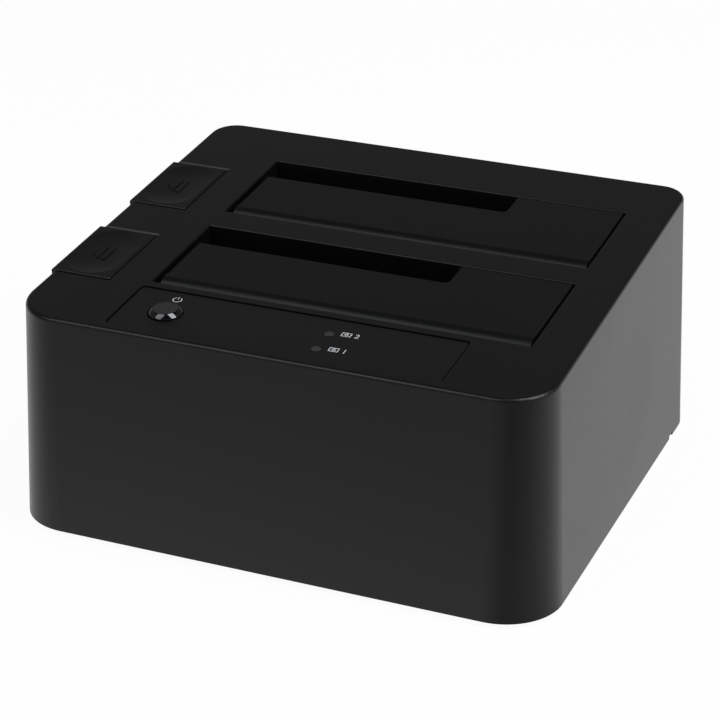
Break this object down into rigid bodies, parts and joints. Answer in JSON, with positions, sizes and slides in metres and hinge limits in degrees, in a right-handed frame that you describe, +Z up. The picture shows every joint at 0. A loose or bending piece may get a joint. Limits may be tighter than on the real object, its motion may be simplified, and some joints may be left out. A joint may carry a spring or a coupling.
{
  "type": "drive duplicator",
  "caption": "Desktop dock that copies one hard drive to another: drafted black housing, sprung flaps over the drive wells, side eject buttons and a control panel.",
  "frame": {"origin": "on the table plane under the middle of the housing's bottom outline", "axes": "+X towards the right end of the drive slots, +Y towards the rear sockets, +Z up from the table"},
  "size_m": [0.149, 0.1324, 0.0706],
  "materials": {
    "housing_black": "fine satin texture",
    "base_black": "satin",
    "rubber": "matte",
    "panel_black": "satin",
    "power_cap": "gloss",
    "power_pad": "matte",
    "screw_steel": "zinc plated",
    "light_pipe": "clear",
    "lamp_white": "gloss",
    "circuit_board": "solder mask",
    "chip_black": "matte",
    "capacitor_can": "satin",
    "inductor_grey": "matte",
    "ribbon_grey": "satin",
    "socket_black": "satin",
    "contact_gold": "gold flash",
    "socket_metal": "nickel plated",
    "button_black": "satin",
    "well_black": "satin",
    "flap_black": "satin",
    "pin_steel": "ground",
    "spring_steel": "drawn"
  },
  "bodies": {
    "housing": {"top_housing": "housing_black", "base_plate": "base_black", "rubber_feet": "rubber", "control_inlay": "panel_black", "base_screws": "screw_steel", "control_screws": "screw_steel", "well_screws": "screw_steel", "board_screws": "screw_steel", "light_pipe_rear": "light_pipe", "light_pipe_front": "light_pipe", "status_lamps": "lamp_white", "control_board": "circuit_board", "main_board": "circuit_board", "controller_chips": "chip_black", "power_switch": "chip_black", "copy_switch": "chip_black", "capacitors": "capacitor_can", "inductors": "inductor_grey", "ribbon_cable": "ribbon_grey", "ribbon_sockets": "socket_black", "dc_jack": "socket_black", "usb_tongue": "socket_black", "esata_tongue": "socket_black", "dc_jack_pin": "contact_gold", "usb_socket": "socket_metal", "esata_socket": "socket_metal", "drive_well_front": "well_black", "button_guide_front": "well_black", "flap_rod_front": "pin_steel", "lever_pin_front": "pin_steel", "flap_spring_front": "spring_steel", "eject_spring_front": "spring_steel", "sata_connector_front": "socket_black", "sata_contacts_front": "contact_gold", "drive_well_rear": "well_black", "button_guide_rear": "well_black", "flap_rod_rear": "pin_steel", "lever_pin_rear": "pin_steel", "flap_spring_rear": "spring_steel", "eject_spring_rear": "spring_steel", "sata_connector_rear": "socket_black", "sata_contacts_rear": "contact_gold"},
    "flap_front": {"flap_front": "flap_black"},
    "flap_rear": {"flap_rear": "flap_black"},
    "eject_button_front": {"eject_button_front": "button_black"},
    "eject_button_rear": {"eject_button_rear": "button_black"},
    "eject_lever_front": {"eject_lever_front": "button_black"},
    "eject_lever_rear": {"eject_lever_rear": "button_black"},
    "power_button": {"power_button": "power_cap", "power_button_pad": "power_pad"},
    "copy_button": {"copy_button": "button_black"}
  },
  "joints": [
    {"name": "flap_front_hinge", "type": "hinge", "parent": "housing", "child": "flap_front", "pos_m": [0, -0.03202, 0.05999], "axis": [-1, 0, 0], "range_deg": [0, 94], "stiffness_Nm_per_rad": 0.004, "springref_deg": -57.3, "deforming": ["flap_spring_front"]},
    {"name": "flap_rear_hinge", "type": "hinge", "parent": "housing", "child": "flap_rear", "pos_m": [0, 0.01227, 0.0632], "axis": [-1, 0, 0], "range_deg": [0, 94], "stiffness_Nm_per_rad": 0.004, "springref_deg": -57.3, "deforming": ["flap_spring_rear"]},
    {"name": "eject_front_press", "type": "slide", "parent": "housing", "child": "eject_button_front", "axis": [0, 0, -1], "range_m": [0, 0.0045], "stiffness_N_per_m": 400, "springref_m": -0.003, "deforming": ["eject_spring_front"]},
    {"name": "eject_front_lever_pivot", "type": "hinge", "parent": "housing", "child": "eject_lever_front", "pos_m": [-0.0497, -0.0193, 0.0143], "axis": [0, -1, 0], "range_deg": [0, 21.6]},
    {"name": "eject_rear_press", "type": "slide", "parent": "housing", "child": "eject_button_rear", "axis": [0, 0, -1], "range_m": [0, 0.0045], "stiffness_N_per_m": 400, "springref_m": -0.003, "deforming": ["eject_spring_rear"]},
    {"name": "eject_rear_lever_pivot", "type": "hinge", "parent": "housing", "child": "eject_lever_rear", "pos_m": [-0.0497, 0.025, 0.0143], "axis": [0, -1, 0], "range_deg": [0, 21.6]},
    {"name": "power_press", "type": "slide", "parent": "housing", "child": "power_button", "axis": [0, 0.0723, -0.9974], "range_m": [0, 0.0008], "stiffness_N_per_m": 600, "springref_m": -0.0015},
    {"name": "copy_press", "type": "slide", "parent": "housing", "child": "copy_button", "axis": [0, -1, 0], "range_m": [0, 0.0008], "stiffness_N_per_m": 600, "springref_m": -0.0015}
  ],
  "couplings": [
    {"joint": "eject_front_lever_pivot", "follows": "eject_front_press", "rad_per_m": 83.775},
    {"joint": "eject_rear_lever_pivot", "follows": "eject_rear_press", "rad_per_m": 83.775}
  ]
}
